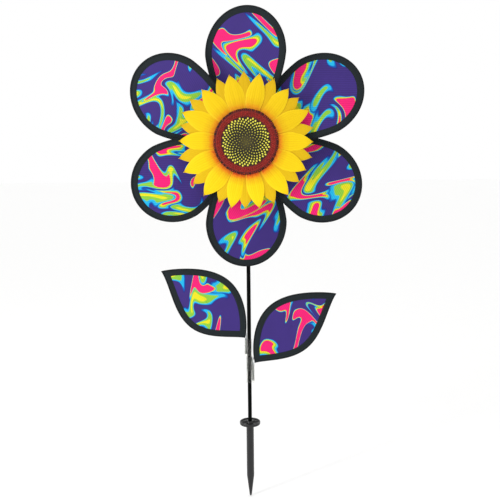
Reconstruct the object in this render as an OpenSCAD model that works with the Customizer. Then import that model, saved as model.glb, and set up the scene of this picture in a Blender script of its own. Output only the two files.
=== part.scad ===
// Flower wind spinner on a two-piece pole with two leaves and a ground stake.
// Origin: centre of the stake flange's underside. +Z up, -Y is the side the flower faces.

/* [Flower] */
// Radius of the flower, hub to petal tip
flower_r = 152.4; // [140:0.2:165]
// Height of the hub above the ground
hub_h = 362; // [355:1:400]
// Distance from the pole's axis forward to the middle of the wheel
wheel_reach = 28; // [27:0.5:32]
// Pitch of each petal about its own length
petal_pitch = 14; // [8:1:18]
// Half the width of a petal, as a part of the flower's radius
petal_half = 0.325; // [0.29:0.005:0.34]

/* [Cloth] */
// Visible width of the folded edge binding
band_w = 8.5; // [6:0.5:10]
// Wall of one layer of binding
tape_t = 0.35; // [0.3:0.05:0.45]
// Thickness of the printed cloth panels
cloth_t = 0.4; // [0.3:0.05:0.6]
// Diameter of the petal wires
petal_wire_d = 1.6; // [1.2:0.1:1.8]
// Diameter of the leaf wires
leaf_wire_d = 1.2; // [1:0.1:1.2]

/* [Sunflower] */
// Radius at the tips of the sunflower
sun_tip_r = 79; // [74:0.5:84]
// Radius at the notches between its tips
sun_notch_r = 66; // [60:0.5:70]
// Thickness of the sunflower face
sun_t = 1.4; // [1:0.1:2]

/* [Pole and stake] */
// Diameter of the pole
pole_d = 5; // [4.6:0.1:5]
// Height of the joint between the two rods
pole_joint_z = 80; // [78:0.5:82]
// Diameter of the stake's flange
flange_d = 26.4; // [22:0.2:30]
// Diameter of the stake's shank
shank_d = 9.6; // [9:0.1:11]
// Length of the parallel part of the shank
shank_l = 70; // [60:1:90]
// Length of the tapered point
point_l = 28; // [20:1:40]

/* [Hidden] */
$fn = 64;

// Clearances: a shaft that turns, a rod pushed home, a face beside a turning face
run_gap = 0.05;
push_gap = 0.02;
face_gap = 0.3;
// Room between a wire and the fold of the binding round it
wire_gap = 0.2;
pole_r = pole_d / 2;

// Petal outline: a half ellipse outside, a fuller taper inside
petal_mid = 0.65 * flower_r;
petal_out = 0.35 * flower_r;
petal_in = 0.53 * flower_r;
petal_taper = 1 / 0.7;
petal_step = 6;
// How much faster the binding's inner edge leaves the narrow end than the sides
inner_end = 1.4;
leg_x = 5;
leg_in_y = 11;

// Leaf: base beside the pole, tip, width of the upper and lower side as parts of its length
left_base = [5.2, 113.4];
left_tip = [111, 199.6];
left_up = 0.333;
left_low = 0.245;
right_base = [7.1, 80.7];
right_tip = [110.4, 170.9];
right_up = 0.32;
right_low = 0.21;
leaf_steps = 30;

// Hub and axle, measured forward from the pole's axis
axle_d = 3;
hub_r = 18;
hub_t = 9;
head_front = 16.1;
washer_t = 0.7;
hub_rear = wheel_reach - 10.8;
hub_front = wheel_reach + 14;
cup_floor = wheel_reach + 8.4;
cup_r = 5.2;
backing_r = 55;
backing_t = 0.8;
face_y = hub_front + 0.05 + backing_t;

// Pole, ferrule and stake
ferrule_l = 16.5;
ferrule_r = pole_r + 0.55;
ferrule_bead_r = pole_r + 0.7;
ferrule_lo = pole_joint_z - ferrule_l / 2;
ferrule_hi = pole_joint_z + ferrule_l / 2;
pole_top = hub_h - 3.9;
socket_depth = 40;
flange_t = 2;
rim_h = 1.2;
rim_w = 1.5;
tip_r = 1.3;

// Vinyl tubes: height of the lower end, the channel's top and the collar's top
left_tube_z = [90.6, 112, 112];
right_tube_z = [55.6, 79, 90];
tube_wall = 0.65;

// ---------- outlines ----------

function petal_point(a, d) =
    let (s = sin(a), x = (petal_half * flower_r - d) * cos(a))
    s >= 0
        ? [x, petal_mid + (petal_out - d) * s]
        : [x, petal_mid - (petal_in - inner_end * d) * pow(-s, petal_taper)];

function petal_outline(d) =
    [for (a = [0 : petal_step : 359]) petal_point(a, d)];

function turn(p, a) = [p.x * cos(a) - p.y * sin(a), p.x * sin(a) + p.y * cos(a)];

function leaf_side(f, w, q, len) = w * len * pow(sin(180 * pow(f, 0.9)), q);

// Outline of a leaf that grows to +X: along the lower side to the tip, then back
function leaf_outline(base, tip, up, low) =
    let (
        v = tip - base,
        len = norm(v),
        a = atan2(v.y, v.x),
        out = [for (i = [0 : leaf_steps]) let (f = i / leaf_steps) [f * len, -leaf_side(f, low, 1.3, len)]],
        back = [for (i = [leaf_steps - 1 : -1 : 1]) let (f = i / leaf_steps)
            [f * len, leaf_side(f, up, 0.87, len)]]
    )
    [for (p = concat(out, back)) base + turn(p, a)];

function inward(pts, i) =
    let (
        n = len(pts),
        t = pts[(i + 1) % n] - pts[(i + n - 1) % n]
    )
    [-t.y, t.x] / norm(t);

function clearance(p, pts) = min([for (q = pts) norm(p - q)]);

// The same outline moved inward by d, without the points that would cross at its corners
function inset(pts, d) =
    [for (i = [0 : len(pts) - 1])
        let (p = pts[i] + d * inward(pts, i))
        if (clearance(p, pts) > d - 0.06) p];

function sun_outline() =
    [for (a = [0 : 2.5 : 359])
        let (r = sun_notch_r + (sun_tip_r - sun_notch_r) * pow(abs(cos(12 * a)), 0.8))
        [r * cos(a), r * sin(a)]];

// ---------- swept wire ----------

wire_sides = 8;

function unit(v) = v / norm(v);

function wire_ring(path, i, r) =
    let (
        n = len(path),
        t = unit(path[min(i + 1, n - 1)] - path[max(i - 1, 0)]),
        side = [-t.y, t.x, 0]
    )
    [for (k = [0 : wire_sides - 1])
        let (a = 360 * k / wire_sides)
        path[i] + r * (cos(a) * side + sin(a) * [0, 0, 1])];

// Round wire along a flat path in the XY plane
module wire(path, r) {
    n = len(path);
    points = [for (i = [0 : n - 1]) each wire_ring(path, i, r)];
    sides = [for (i = [0 : n - 2]) for (k = [0 : wire_sides - 1])
        let (a = i * wire_sides + k, b = i * wire_sides + (k + 1) % wire_sides)
        [a, b, b + wire_sides, a + wire_sides]];
    first = [for (k = [wire_sides - 1 : -1 : 0]) k];
    last = [for (k = [0 : wire_sides - 1]) (n - 1) * wire_sides + k];
    polyhedron(points = points, faces = concat(sides, [first, last]), convexity = 10);
}

function flat(pts) = [for (p = pts) [p.x, p.y, 0]];

// ---------- pieces of a petal and of a leaf, drawn flat in XY, front towards +Z ----------

module slab(t) {
    translate([0, 0, -t / 2]) linear_extrude(t) children();
}

// Folded tape round an edge: two layers with a slot between them, shut at the outside
module folded_band(outer, slot, inner, wire_d) {
    gap = wire_d + 0.1;
    difference() {
        slab(gap + 2 * tape_t) polygon(outer);
        slab(gap + 4) polygon(inner);
        slab(gap) polygon(slot);
    }
}

module petal_binding() {
    color("#1f2a2a") difference() {
        folded_band(petal_outline(0), petal_outline(tape_t), petal_outline(band_w), petal_wire_d);
        slab(petal_wire_d + 0.1) translate([-leg_x - 3, 14]) square([2 * leg_x + 6, 9]);
    }
}

module petal_panel() {
    color("#45317d") slab(cloth_t) polygon(petal_outline(tape_t + wire_gap + petal_wire_d + 0.4));
}

module petal_frame() {
    d = tape_t + wire_gap + petal_wire_d / 2;
    loop = [for (a = [-90 + petal_step : petal_step : 270 - petal_step])
        let (p = petal_point(a, d)) if (p.y > petal_mid || abs(p.x) > leg_x + 2) p];
    foot = petal_point(-90, d).y + 0.1;
    path = concat(
        [[leg_x, leg_in_y], [leg_x, foot - 0.6], [leg_x + 0.6, foot]],
        loop,
        [[-leg_x - 0.6, foot], [-leg_x, foot - 0.6], [-leg_x, leg_in_y]]
    );
    color("#a7abad") wire(flat(path), petal_wire_d / 2);
}

// Puts a flat piece on the wheel as petal i, pitched about its own length
module on_wheel(i) {
    translate([0, -wheel_reach, hub_h])
        rotate([0, -60 * (i - 1), 0])
        rotate([90, 0, 0])
        rotate([0, -petal_pitch, 0])
        children();
}

// Stands a flat piece up in the plane of the leaves
module stand_up() {
    rotate([90, 0, 0]) children();
}

module leaf_binding(base, tip, up, low, tails) {
    outline = leaf_outline(base, tip, up, low);
    gap = leaf_wire_d + 0.1;
    color("#1f2a2a") difference() {
        folded_band(outline, inset(outline, tape_t), inset(outline, band_w), leaf_wire_d);
        slab(gap) translate([tails[0] - 0.7, base.y - 3])
            square([tails[1] - tails[0] + 4, 13]);
    }
}

module leaf_panel(base, tip, up, low) {
    edge = inset(leaf_outline(base, tip, up, low), tape_t + wire_gap + leaf_wire_d + 0.3);
    color("#45317d") slab(cloth_t)
        polygon([for (p = edge) if (norm(p - base) > 11 && norm(p - tip) > 9) p]);
}

// One wire: up from the tube, round the leaf inside its binding, and down into the tube again
module leaf_frame(base, tip, up, low, tails, z) {
    outline = leaf_outline(base, tip, up, low);
    loop = inset(outline, tape_t + wire_gap + leaf_wire_d / 2);
    run = [for (p = loop) if (norm(p - base) > 9 && norm(p - tip) > 3.5) p];
    path = concat(
        [[tails[1], z[0] + 2], [tails[1], base.y - 1.5], [tails[1] + 1.2, base.y + 1.6]],
        run,
        [[tails[0] + 0.2, base.y + 3], [tails[0], base.y - 1.5], [tails[0], z[0] + 2]]
    );
    color("#a7abad") wire(flat(path), leaf_wire_d / 2);
}

// Clear tube: a collar round the pole and a channel that holds the two wire tails
module leaf_tube(tails, z, wide_lo, wide_hi) {
    wire_r = leaf_wire_d / 2 + push_gap;
    bore_r = pole_r + run_gap;
    wide_r = ferrule_bead_r + 0.07;
    collar_r = (wide_hi > wide_lo ? wide_r : bore_r) + tube_wall;
    channel_r = wire_r + tube_wall;
    color([0.85, 0.88, 0.86, 0.4]) difference() {
        union() {
            translate([0, 0, z[0]]) cylinder(r = collar_r, h = z[2] - z[0]);
            translate([0, -channel_r, z[0]]) cube([tails[1], 2 * channel_r, z[1] - z[0]]);
            translate([tails[1], 0, z[0]]) cylinder(r = channel_r, h = z[1] - z[0]);
        }
        translate([0, 0, z[0] - 1]) cylinder(r = bore_r, h = z[2] - z[0] + 2);
        if (wide_hi > wide_lo)
            translate([0, 0, wide_lo]) cylinder(r = wide_r, h = wide_hi - wide_lo);
        for (x = tails)
            translate([x, 0, z[0] + 2]) cylinder(r = wire_r, h = z[2] - z[0]);
    }
}

// ---------- pole and stake ----------

module ground_stake() {
    color("#2b2b2e") difference() {
        union() {
            cylinder(d = flange_d, h = flange_t);
            cylinder(r = pole_r + 2.1, h = flange_t + 2.4);
            difference() {
                cylinder(d = flange_d, h = flange_t + rim_h);
                translate([0, 0, flange_t]) cylinder(d = flange_d - 2 * rim_w, h = 5);
            }
            for (i = [0 : 9])
                rotate([0, 0, 36 * i + 18])
                translate([pole_r + 1.5, -0.45, flange_t - 0.5])
                cube([flange_d / 2 - rim_w - pole_r - 1.2, 0.9, 1.2]);
            translate([0, 0, -shank_l]) cylinder(d = shank_d, h = shank_l + 0.5);
            stake_point();
        }
        translate([0, 0, -socket_depth]) cylinder(r = pole_r + run_gap, h = socket_depth + 10);
    }
}

// Tapered point with a small round tip
module stake_point() {
    top = -shank_l;
    bottom = -shank_l - point_l;
    arc = [for (a = [-90 : 15 : 0]) [tip_r * cos(a), bottom + tip_r + tip_r * sin(a)]];
    rotate_extrude() polygon(concat(arc, [[shank_d / 2, top], [shank_d / 2, top + 1], [0, top + 1]]));
}

module lower_pole() {
    color("#0d1211") translate([0, 0, -socket_depth + face_gap])
        cylinder(r = pole_r, h = pole_joint_z - 0.1 + socket_depth - face_gap);
}

module upper_pole() {
    color("#0d1211") translate([0, 0, pole_joint_z + 0.1])
        cylinder(r = pole_r, h = pole_top - pole_joint_z - 0.1);
}

module pole_ferrule() {
    bead = 1.2;
    color("#16181a") difference() {
        union() {
            translate([0, 0, ferrule_lo]) cylinder(r = ferrule_r, h = ferrule_l);
            for (z = [ferrule_lo, ferrule_hi - bead])
                translate([0, 0, z]) cylinder(r = ferrule_bead_r, h = bead);
        }
        translate([0, 0, ferrule_lo - 1]) cylinder(r = pole_r + push_gap, h = ferrule_l + 2);
    }
}

// ---------- head, axle and hub; a cylinder along -Y starts at distance y from the pole ----------

module along_axle(y) {
    translate([0, -y, hub_h]) rotate([90, 0, 0]) children();
}

module stem_head() {
    collar_r = pole_r + 2.1;
    color("#1c1d20") difference() {
        union() {
            translate([0, 0, hub_h - 24]) cylinder(r = collar_r, h = 25);
            translate([0, 0, hub_h + 1]) sphere(r = collar_r);
            along_axle(0) cylinder(r = 4.2, h = head_front);
        }
        translate([0, 0, hub_h - 25]) cylinder(r = pole_r + push_gap, h = pole_top - hub_h + 25.1);
        along_axle(-2.5) cylinder(r = axle_d / 2 + push_gap, h = head_front + 5);
    }
}

module axle_pin() {
    color("#b9bcc0") along_axle(-2.4) cylinder(d = axle_d, h = wheel_reach + 14.6);
}

module washer(y, r) {
    along_axle(y) difference() {
        cylinder(r = r, h = washer_t);
        translate([0, 0, -1]) cylinder(r = axle_d / 2 + push_gap, h = washer_t + 2);
    }
}

module rear_washer() {
    color("#d8d8d4") washer(head_front + 0.05, 4.4);
}

module front_washer() {
    color("#d8d8d4") washer(cup_floor + face_gap, 4);
}

module push_cap() {
    color("#b9bcc0") along_axle(cup_floor + face_gap + washer_t + 0.05) difference() {
        union() {
            cylinder(r = 3.4, h = 2);
            translate([0, 0, 2]) cylinder(r1 = 3.4, r2 = 2.4, h = 1.6);
        }
        translate([0, 0, -1]) cylinder(r = axle_d / 2 + push_gap, h = 4.2);
    }
}

module wheel_hub() {
    color("#1c1d20") difference() {
        union() {
            along_axle(wheel_reach - hub_t / 2) cylinder(r = hub_r, h = hub_t);
            along_axle(hub_rear) cylinder(r = 6, h = 10);
            along_axle(wheel_reach) cylinder(r = 9, h = hub_front - wheel_reach);
        }
        along_axle(hub_rear - 1) cylinder(r = axle_d / 2 + run_gap, h = 40);
        along_axle(cup_floor) cylinder(r = cup_r, h = 20);
        for (i = [1 : 6]) on_wheel(i)
            for (x = [-leg_x, leg_x])
                translate([x, leg_in_y - 0.3, 0])
                rotate([-90, 0, 0])
                cylinder(d = petal_wire_d + 2 * push_gap, h = hub_r);
    }
}

module sunflower_backing() {
    color("#e8e6df") along_axle(hub_front + 0.02) cylinder(r = backing_r, h = backing_t);
}

module sunflower_face() {
    color("#fdd90a") along_axle(face_y) linear_extrude(sun_t) polygon(sun_outline());
}

// ---------- leaves ----------

left_tails = [3.3, 4.6];
right_tails = [4.0, 5.3];

module left_leaf_frame() {
    mirror([1, 0, 0]) stand_up()
        leaf_frame(left_base, left_tip, left_up, left_low, left_tails, left_tube_z);
}

module left_leaf_panel() {
    mirror([1, 0, 0]) stand_up() leaf_panel(left_base, left_tip, left_up, left_low);
}

module left_leaf_binding() {
    mirror([1, 0, 0]) stand_up()
        leaf_binding(left_base, left_tip, left_up, left_low, left_tails);
}

module left_leaf_tube() {
    mirror([1, 0, 0]) leaf_tube(left_tails, left_tube_z, 0, 0);
}

module right_leaf_frame() {
    stand_up() leaf_frame(right_base, right_tip, right_up, right_low, right_tails, right_tube_z);
}

module right_leaf_panel() {
    stand_up() leaf_panel(right_base, right_tip, right_up, right_low);
}

module right_leaf_binding() {
    stand_up() leaf_binding(right_base, right_tip, right_up, right_low, right_tails);
}

module right_leaf_tube() {
    leaf_tube(right_tails, right_tube_z, ferrule_lo - 0.4, ferrule_hi + 0.4);
}

ground_stake();
lower_pole();
pole_ferrule();
upper_pole();
stem_head();
axle_pin();
rear_washer();
front_washer();
push_cap();
wheel_hub();
on_wheel(1) petal_frame();  // petal_frame_1
on_wheel(2) petal_frame();  // petal_frame_2
on_wheel(3) petal_frame();  // petal_frame_3
on_wheel(4) petal_frame();  // petal_frame_4
on_wheel(5) petal_frame();  // petal_frame_5
on_wheel(6) petal_frame();  // petal_frame_6
on_wheel(1) petal_panel();  // petal_panel_1
on_wheel(2) petal_panel();  // petal_panel_2
on_wheel(3) petal_panel();  // petal_panel_3
on_wheel(4) petal_panel();  // petal_panel_4
on_wheel(5) petal_panel();  // petal_panel_5
on_wheel(6) petal_panel();  // petal_panel_6
on_wheel(1) petal_binding();  // petal_binding_1
on_wheel(2) petal_binding();  // petal_binding_2
on_wheel(3) petal_binding();  // petal_binding_3
on_wheel(4) petal_binding();  // petal_binding_4
on_wheel(5) petal_binding();  // petal_binding_5
on_wheel(6) petal_binding();  // petal_binding_6
sunflower_backing();
sunflower_face();
left_leaf_frame();
left_leaf_panel();
left_leaf_binding();
left_leaf_tube();
right_leaf_frame();
right_leaf_panel();
right_leaf_binding();
right_leaf_tube();
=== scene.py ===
"""Looks of a flower wind spinner: six printed petals round a sunflower, two leaves, pole and stake."""

import math
import random
from functools import partial

import bmesh
import bpy
import numpy as np
from mathutils import Matrix, Vector


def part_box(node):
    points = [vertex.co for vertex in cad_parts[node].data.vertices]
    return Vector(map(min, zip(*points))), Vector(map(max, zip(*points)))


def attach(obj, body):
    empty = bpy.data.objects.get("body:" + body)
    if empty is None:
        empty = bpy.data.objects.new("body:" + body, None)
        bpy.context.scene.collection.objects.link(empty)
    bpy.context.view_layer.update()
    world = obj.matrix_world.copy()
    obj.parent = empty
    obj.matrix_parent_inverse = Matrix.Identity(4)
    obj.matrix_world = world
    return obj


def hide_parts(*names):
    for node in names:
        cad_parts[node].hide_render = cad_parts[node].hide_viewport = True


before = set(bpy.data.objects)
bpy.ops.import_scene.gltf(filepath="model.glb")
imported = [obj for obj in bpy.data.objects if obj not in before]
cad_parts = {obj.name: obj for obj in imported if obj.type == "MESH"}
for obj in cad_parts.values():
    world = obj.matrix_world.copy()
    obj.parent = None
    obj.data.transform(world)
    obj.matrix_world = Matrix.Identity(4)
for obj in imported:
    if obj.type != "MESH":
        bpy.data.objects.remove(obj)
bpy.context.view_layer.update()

bl_info = {
    "name": "Flower Wind Spinner",
    "version": (1, 0, 0),
    "blender": (4, 5, 0),
    "location": "View3D > Sidebar > Wind Spinner",
    "description": "Builds the cloth, bindings, sunflower and stake of a garden wind spinner",
    "category": "Object",
}

MM = 0.001
PIN_LOW, PIN_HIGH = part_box("axle_pin")
HUB_Z = (PIN_LOW.z + PIN_HIGH.z) / 2
FLANGE_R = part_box("ground_stake")[1].x
STAKE_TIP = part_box("ground_stake")[0].z
FACE_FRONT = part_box("sunflower_face")[0].y
FACE_ASIDE, FACE_BELOW = 1 * MM, 4 * MM
POLE_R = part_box("upper_pole")[1].x
PETALS = range(1, 7)


def linear(hex_colour):
    """One sRGB hex colour as linear RGBA."""
    parts = [int(hex_colour[i:i + 2], 16) / 255 for i in (0, 2, 4)]
    return tuple(c / 12.92 if c <= 0.04045 else ((c + 0.055) / 1.055) ** 2.4 for c in parts) + (1.0,)


# ---------- sizes and colours that a user would change ----------

def metres(name, description, default):
    return bpy.props.FloatProperty(
        name=name, description=description, default=default, min=0, subtype="DISTANCE", unit="LENGTH")


def ink(name, description, hex_colour):
    return bpy.props.FloatVectorProperty(
        name=name, description=description, default=linear(hex_colour), size=4, min=0, max=1,
        subtype="COLOR")


def fraction(name, description, default):
    return bpy.props.FloatProperty(name=name, description=description, default=default, min=0, max=1)


class FlowerSizes(bpy.types.PropertyGroup):
    hub_height: metres("Hub height", "Height of the wheel's axle above the ground", HUB_Z)
    wheel_reach: metres("Wheel reach", "From the pole's axis forward to the middle of the wheel", 28 * MM)
    radius: metres("Flower radius", "From the hub to a petal's tip", 152.4 * MM)
    petal_pitch: bpy.props.FloatProperty(
        name="Petal pitch", description="Turn of each petal about its own length",
        default=math.radians(14), subtype="ANGLE", unit="ROTATION")
    band: metres("Binding width", "Width of the folded tape that shows on a petal's edge", 8.5 * MM)
    cloth: metres("Cloth thickness", "Thickness of the printed cloth", 0.3 * MM)
    stitch: metres("Stitch pitch", "From one stitch to the next", 3 * MM)
    wire: metres("Petal wire", "Diameter of the wire in a petal's edge", 1.6 * MM)
    leaf_wire: metres("Leaf wire", "Diameter of the wire in a leaf's edge", 1.2 * MM)


class PrintColours(bpy.types.PropertyGroup):
    purple: ink("Purple", "Ground of the print", "3e2d79")
    navy: ink("Navy", "Darkest rim of a swirl", "22287a")
    blue: ink("Blue", "Outer rim of a swirl", "0e57b4")
    cyan: ink("Cyan", "Bright rim of a swirl", "1fb2e4")
    green: ink("Green", "Body of a swirl", "8ac540")
    yellow: ink("Yellow", "Inner rim of a swirl", "e2da22")
    red: ink("Red", "Thin line between yellow and pink", "ee2b3c")
    pink: ink("Pink", "Heart of a swirl", "ee2074")
    spacing: metres("Drop spacing", "From one drop of dye to the next", 33 * MM)
    stir: metres("Stir", "How far the longest wave pushes the wet dye", 13 * MM)
    petal_cover: fraction("Petal cover", "Share of places on a petal that get a drop", 0.84)
    leaf_cover: fraction("Leaf cover", "Share of places on a leaf that get a drop", 0.5)
    seed: bpy.props.IntProperty(name="Print seed", description="Which cut of the print is used", default=8)
    binding: ink("Binding", "Edge tape of petals and leaves", "181e21")


class SunflowerLooks(bpy.types.PropertyGroup):
    ring: metres("Disc radius", "Outer radius of the seed disc and its floret ring", 38 * MM)
    ray_reach: metres("Ray reach", "From the middle of the sunflower to a ray's tip", 79.5 * MM)
    ray_width: metres("Ray width", "Widest part of a front ray", 21.5 * MM)
    seeds: bpy.props.IntProperty(name="Seeds", description="Seeds in the disc", default=250, min=50, max=600)
    ray: ink("Ray yellow", "Main colour of the rays", "efcb04")
    shade: ink("Ray orange", "Glow at the roots of the rays", "dc7208")
    floret: ink("Floret red", "Ring of florets round the seeds", "a8281f")
    seed: ink("Seed cream", "Crown of a seed", "e2da50")


class StakeSizes(bpy.types.PropertyGroup):
    shank: metres("Shank radius", "Radius of the stake's parallel part", 4.8 * MM)
    ribs: bpy.props.IntProperty(
        name="Ribs", description="Ribs on top of the flange", default=10, min=4, max=20)


class StudioLooks(bpy.types.PropertyGroup):
    lens: bpy.props.FloatProperty(
        name="Lens", description="Focal length of the camera in millimetres", default=46.89, min=20)
    sky: bpy.props.FloatProperty(
        name="Surround", description="Brightness of the even white surround", default=1.0, min=0)
    key: bpy.props.FloatProperty(
        name="Key light", description="Power of the large soft light", default=2.0, min=0, unit="POWER")
    strip: bpy.props.FloatProperty(
        name="Strip light", description="Power of the narrow light on the left", default=2.2, min=0,
        unit="POWER")
    floor: ink("Floor", "Colour of the pale floor", "fbfbfa")


# ---------- small tools ----------

def clear_selection():
    for other in bpy.context.selected_objects:
        other.select_set(False)


def only(obj):
    """Leaves one object selected and active."""
    clear_selection()
    obj.select_set(True)
    bpy.context.view_layer.objects.active = obj


def apply(obj, kind, **settings):
    """Adds a modifier, sets it and applies it."""
    modifier = obj.modifiers.new(kind.title(), kind)
    for key, value in settings.items():
        setattr(modifier, key, value)
    only(obj)
    bpy.ops.object.modifier_apply(modifier=modifier.name)


def tidy_mesh(obj, merge=0.0, smooth=None):
    """Merges doubles if asked, turns the faces outwards and shades smooth, up to an angle if given."""
    only(obj)
    bpy.ops.object.mode_set(mode="EDIT")
    bpy.ops.mesh.select_all(action="SELECT")
    if merge:
        bpy.ops.mesh.remove_doubles(threshold=merge)
    bpy.ops.mesh.normals_make_consistent(inside=False)
    bpy.ops.object.mode_set(mode="OBJECT")
    if smooth is None:
        bpy.ops.object.shade_smooth()
    else:
        bpy.ops.object.shade_smooth_by_angle(angle=math.radians(smooth))


def settle(obj):
    """Puts an object's place into its mesh."""
    bpy.context.view_layer.update()
    obj.data.transform(obj.matrix_world)
    obj.matrix_world = Matrix.Identity(4)


def piece(obj, name, body, slot, material, *nodes):
    """Names a finished piece, gives it its material, hides the CAD parts it stands for and hangs it on its
    body.
    """
    obj.name = obj.data.name = name
    obj.data.materials.clear()
    obj.data.materials.append(material)
    settle(obj)
    if nodes:
        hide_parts(*nodes)
    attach(obj, body)
    return obj


def join(objects):
    only(objects[0])
    for other in objects[1:]:
        other.select_set(True)
    bpy.ops.object.join()
    return objects[0]


def woven(rows, columns, round_rows, round_columns):
    """Quads between rows of points, with the unwrapped row and column of each corner."""
    faces, corners = [], []
    for r in range(rows if round_rows else rows - 1):
        for c in range(columns if round_columns else columns - 1):
            ring = [(r, c), (r, c + 1), (r + 1, c + 1), (r + 1, c)]
            faces.append([(i % rows) * columns + j % columns for i, j in ring])
            corners.extend(ring)
    return faces, corners


def point_values(mesh, **values):
    """Stores named values on a mesh's points, which the materials read."""
    for key, value in values.items():
        layer = mesh.attributes.new(key, "FLOAT", "POINT")
        layer.data.foreach_set("value", np.broadcast_to(np.float32(value), len(mesh.vertices)).copy())


def sheet_object(points, faces, uv=None, **values):
    """A mesh object from points in metres, with a UV map in metres and values per point."""
    mesh = bpy.data.meshes.new("sheet")
    mesh.from_pydata([tuple(p) for p in points], [], faces)
    if uv is not None:
        layer = mesh.uv_layers.new(name="UVMap")
        layer.data.foreach_set("uv", np.asarray(uv, np.float32).ravel())
    point_values(mesh, **values)
    obj = bpy.data.objects.new("sheet", mesh)
    bpy.context.scene.collection.objects.link(obj)
    return obj


def placed(points, matrix):
    """Points in millimetres moved by a matrix in metres."""
    points = np.asarray(points, float) * MM
    m = np.array(matrix)
    return points @ m[:3, :3].T + m[:3, 3]


def ease(x):
    x = np.clip(x, 0, 1)
    return x * x * (3 - 2 * x)


# ---------- places ----------

def on_wheel(i):
    """Drawing plane of petal i: X across, Y outwards, Z to the front."""
    sizes = bpy.context.scene.flower_sizes
    return (Matrix.Translation((0, -sizes.wheel_reach, sizes.hub_height))
            @ Matrix.Rotation(math.radians(-60 * (i - 1)), 4, "Y")
            @ Matrix.Rotation(math.radians(90), 4, "X")
            @ Matrix.Rotation(-sizes.petal_pitch, 4, "Y"))


def on_stem(side):
    """Drawing plane of a leaf: X away from the pole, Y up, Z to the front."""
    upright = Matrix.Rotation(math.radians(90), 4, "X")
    return Matrix.Scale(-1, 4, (1, 0, 0)) @ upright if side == "left" else upright


def before_face():
    """Drawing plane of the sunflower, which sits a little off the axle: its middle, Z to the front."""
    middle = (FACE_ASIDE, FACE_FRONT, bpy.context.scene.flower_sizes.hub_height - FACE_BELOW)
    return Matrix.Translation(middle) @ Matrix.Rotation(math.radians(90), 4, "X")


# ---------- outlines, in millimetres ----------

def petal_edge(inset, count=240):
    """Outline of a petal, moved inwards: a half ellipse outside, a fuller taper inside."""
    radius = bpy.context.scene.flower_sizes.radius / MM
    a = np.radians(np.linspace(-90, 270, count, endpoint=False))
    s, c = np.sin(a), np.cos(a)
    low = np.clip(-s, 0, 1) ** (1 / 0.7)
    y = np.where(s >= 0, 0.65 * radius + (0.35 * radius - inset) * s,
                 0.65 * radius - (0.53 * radius - 1.4 * inset) * low)
    return np.stack([(0.325 * radius - inset) * c, y], 1)


# Each leaf beside the pole, in millimetres: its two corners, how far its sides swell as parts of its
# length, the places of its wire's tails and the foot of its tube
LEAVES = {
    "left": {"base": (5.2, 113.4), "tip": (111, 199.6), "up": 0.333, "low": 0.245,
             "tails": (3.3, 4.6), "tube": 90.6},
    "right": {"base": (7.1, 80.7), "tip": (110.4, 170.9), "up": 0.32, "low": 0.21,
              "tails": (4.0, 5.3), "tube": 55.6},
}


def resample(points, count):
    """The same line with evenly spaced points."""
    steps = np.r_[0, np.cumsum(np.linalg.norm(np.diff(points, axis=0), axis=1))]
    at = np.linspace(0, steps[-1], count)
    return np.stack([np.interp(at, steps, points[:, k]) for k in (0, 1)], 1)


def leaf_edge(side, inset, count=110):
    """Outline of a leaf moved inwards, mitred at its two corners: lower side out, upper side back."""
    leaf = LEAVES[side]
    base, tip = np.array(leaf["base"]), np.array(leaf["tip"])
    along = tip - base
    length = np.linalg.norm(along)
    x_axis = along / length
    y_axis = np.array([-x_axis[1], x_axis[0]])
    f = np.linspace(0, 1, 700) ** 1.3
    wave = np.clip(np.sin(np.pi * f ** 0.9), 0, 1)
    sides = []
    for width, power in ((-leaf["low"], 1.3), (leaf["up"], 0.87)):
        sides.append(base + np.outer(f * length, x_axis) + np.outer(width * length * wave ** power, y_axis))
    moved = []
    for k, points in enumerate(sides):
        t = np.gradient(points, axis=0)
        t /= np.linalg.norm(t, axis=1)[:, None]
        normal = np.stack([-t[:, 1], t[:, 0]], 1) * (1 if k == 0 else -1)
        inner = points + inset * normal
        if inset > 0:
            gap = np.linalg.norm(inner[:, None] - sides[1 - k][None], axis=2).min(1)
            own = np.linalg.norm(inner[:, None] - points[None], axis=2).min(1)
            inner = inner[(gap >= inset) & (own >= inset * 0.97)]
        moved.append(inner)
    first = (moved[0][0] + moved[1][0]) / 2
    last = (moved[0][-1] + moved[1][-1]) / 2
    low = resample(np.vstack([first, moved[0], last]), count)
    high = resample(np.vstack([first, moved[1], last]), count)
    return np.vstack([low, high[-2:0:-1]])


# ---------- materials ----------

# The output that is used, where it isn't a node's first
RESULTS = {"TexNoise": "Fac", "TexWave": "Fac", "Attribute": "Fac", "TexCoord": "Object", "Mix": 2}


def filled(value):
    """A socket's own value: a hex colour becomes linear, and anything else stays."""
    return linear(value) if isinstance(value, str) else value


def node(tree, kind, sockets=None, stops=(), feeds=None, **settings):
    """Adds a node with its settings, fills or joins its sockets and gives back its result. Stops are
    those of a colour ramp, as (place, colour), and feeds names the shader's socket it goes to."""
    made = tree.nodes.new("ShaderNode" + kind)
    made.location = (-260 * (len(tree.nodes) % 12), -190 * (len(tree.nodes) // 12))
    for key, value in settings.items():
        setattr(made, key, value)
    for where, value in (sockets or {}).items():
        if isinstance(value, bpy.types.NodeSocket):
            tree.links.new(value, made.inputs[where])
        else:
            made.inputs[where].default_value = filled(value)
    if stops:
        ramp = made.color_ramp.elements
        ramp.remove(ramp[1])
        ramp[0].position, ramp[0].color = stops[0][0], filled(stops[0][1])
        for place, colour in stops[1:]:
            ramp.new(place).color = filled(colour)
    result = made.outputs[RESULTS.get(kind, 0)]
    if feeds:
        tree.links.new(result, tree.nodes["Principled BSDF"].inputs[feeds])
    return result


def new_material(name, sockets):
    """A material and its node tree. The shader's own sockets hold what is the same all over."""
    material = bpy.data.materials.new(name)
    material.use_nodes = True
    for where, value in sockets.items():
        material.node_tree.nodes["Principled BSDF"].inputs[where].default_value = value
    return material, material.node_tree


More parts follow.
